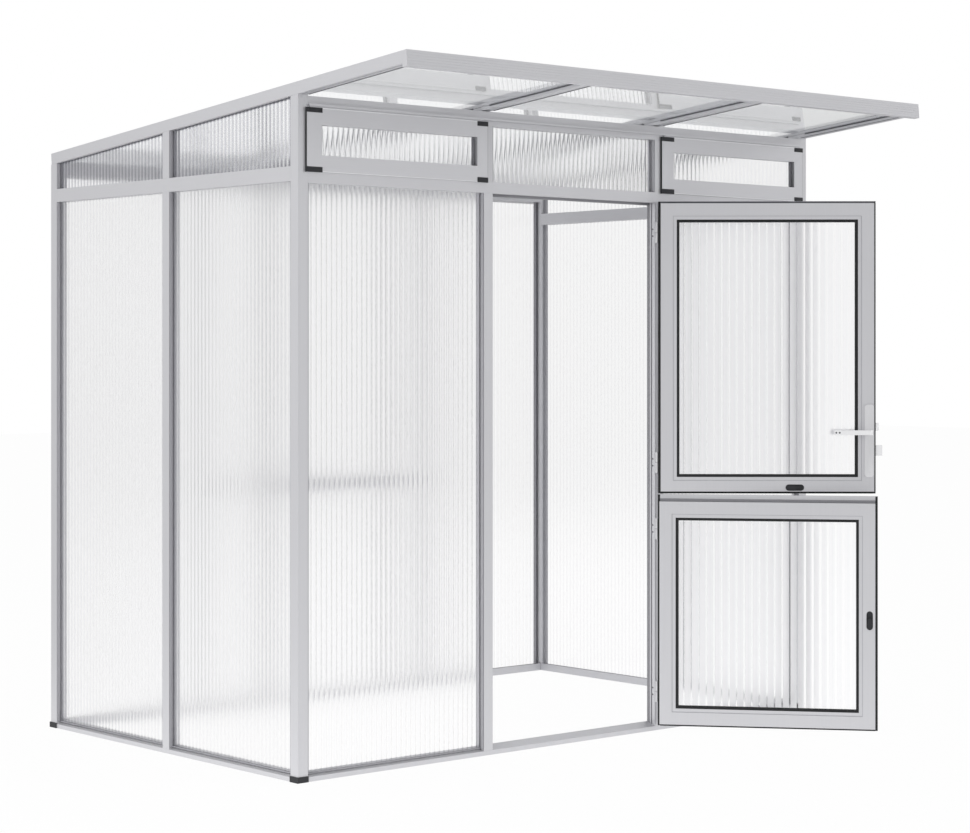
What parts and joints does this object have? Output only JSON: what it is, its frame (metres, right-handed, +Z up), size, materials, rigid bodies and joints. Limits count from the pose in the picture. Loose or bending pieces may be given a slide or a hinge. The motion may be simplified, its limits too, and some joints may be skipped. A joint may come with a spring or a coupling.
{
  "type": "lean to greenhouse",
  "caption": "Pent-roof lean-to greenhouse: aluminium frame, ribbed wall sheets, clear roof with a front canopy, top-hung vents and a stable door standing open.",
  "frame": {"origin": "on the ground, in the middle of the underside of the front sill", "axes": "+X to the right along the front as seen from outside, +Y from the front to the rear, +Z up"},
  "size_m": [2.568, 2.2966, 2.4046],
  "materials": {
    "anodised_aluminium": "natural anodised, satin",
    "satin_silver": "satin silver",
    "black_plastic": "moulded, black",
    "ribbed_sheet": "translucent ribbed polycarbonate",
    "clear_pane": "clear flat sheet"
  },
  "bodies": {
    "root": {"fascia": "anodised_aluminium", "front_left_foot": "black_plastic", "front_left_post": "anodised_aluminium", "front_left_sheet": "ribbed_sheet", "front_right_foot": "black_plastic", "front_right_post": "anodised_aluminium", "front_right_sheet": "ribbed_sheet", "front_sill": "anodised_aluminium", "front_top_rail": "anodised_aluminium", "gutter": "anodised_aluminium", "head_rail": "anodised_aluminium", "left_front_lower_sheet": "ribbed_sheet", "left_front_upper_sheet": "ribbed_sheet", "left_gable_rafter": "anodised_aluminium", "left_mullion": "anodised_aluminium", "left_rafter": "anodised_aluminium", "left_rail": "anodised_aluminium", "left_rear_lower_sheet": "ribbed_sheet", "left_rear_upper_sheet": "ribbed_sheet", "left_roof_pane": "clear_pane", "left_sill": "anodised_aluminium", "left_stud": "anodised_aluminium", "middle_roof_pane": "clear_pane", "over_door_sheet": "ribbed_sheet", "rear_beam": "anodised_aluminium", "rear_cross_rail": "anodised_aluminium", "rear_left_foot": "black_plastic", "rear_left_post": "anodised_aluminium", "rear_left_sheet": "ribbed_sheet", "rear_left_stud": "anodised_aluminium", "rear_middle_sheet": "ribbed_sheet", "rear_right_foot": "black_plastic", "rear_right_post": "anodised_aluminium", "rear_right_sheet": "ribbed_sheet", "rear_right_stud": "anodised_aluminium", "rear_sill": "anodised_aluminium", "right_front_lower_sheet": "ribbed_sheet", "right_front_upper_sheet": "ribbed_sheet", "right_gable_rafter": "anodised_aluminium", "right_mullion": "anodised_aluminium", "right_rafter": "anodised_aluminium", "right_rail": "anodised_aluminium", "right_rear_lower_sheet": "ribbed_sheet", "right_rear_upper_sheet": "ribbed_sheet", "right_roof_pane": "clear_pane", "right_sill": "anodised_aluminium", "right_stud": "anodised_aluminium"},
    "upper_leaf": {"upper_leaf_frame": "anodised_aluminium", "upper_leaf_sheet": "ribbed_sheet"},
    "lower_leaf": {"lower_leaf_frame": "anodised_aluminium", "lower_leaf_sheet": "ribbed_sheet"},
    "lever": {"lever_handle": "satin_silver"},
    "latch": {"latch_bolt": "satin_silver"},
    "deadbolt": {"deadbolt": "satin_silver"},
    "upper_catch": {"upper_catch": "black_plastic"},
    "lower_catch": {"lower_catch": "black_plastic"},
    "left_vent": {"left_vent_frame": "anodised_aluminium", "left_vent_sheet": "ribbed_sheet"},
    "right_vent": {"right_vent_frame": "anodised_aluminium", "right_vent_sheet": "ribbed_sheet"}
  },
  "joints": [
    {"name": "upper_leaf_hinge", "type": "hinge", "parent": "root", "child": "upper_leaf", "pos_m": [0.417, -0.028, 1.4], "axis": [0, 0, 1], "range_deg": [-138, 32]},
    {"name": "lower_leaf_hinge", "type": "hinge", "parent": "root", "child": "lower_leaf", "pos_m": [0.417, -0.028, 0.45], "axis": [0, 0, 1], "range_deg": [-129.5, 40.5]},
    {"name": "lever_turn", "type": "hinge", "parent": "upper_leaf", "child": "lever", "pos_m": [1.01374, -0.56531, 1.139], "axis": [-0.6691, -0.7431, 0], "range_deg": [0, 40], "stiffness_Nm_per_rad": 0.8, "springref_deg": -34.38},
    {"name": "latch_slide", "type": "slide", "parent": "upper_leaf", "child": "latch", "axis": [-0.7431, 0.6691, 0], "range_m": [0, 0.012]},
    {"name": "deadbolt_slide", "type": "slide", "parent": "upper_leaf", "child": "deadbolt", "axis": [-0.7431, 0.6691, 0], "range_m": [0, 0.022]},
    {"name": "upper_catch_slide", "type": "slide", "parent": "upper_leaf", "child": "upper_catch", "axis": [0.7431, -0.6691, 0], "range_m": [0, 0.025]},
    {"name": "lower_catch_slide", "type": "slide", "parent": "lower_leaf", "child": "lower_catch", "axis": [0, 0, 1], "range_m": [0, 0.025]},
    {"name": "left_vent_hinge", "type": "hinge", "parent": "root", "child": "left_vent", "pos_m": [-0.846, -0.0255, 2.27413], "axis": [-1, 0, 0], "range_deg": [0, 45]},
    {"name": "right_vent_hinge", "type": "hinge", "parent": "root", "child": "right_vent", "pos_m": [0.846, -0.0255, 2.27413], "axis": [-1, 0, 0], "range_deg": [0, 45]}
  ],
  "couplings": [
    {"joint": "latch_slide", "follows": "lever_turn", "m_per_rad": 0.0171}
  ]
}
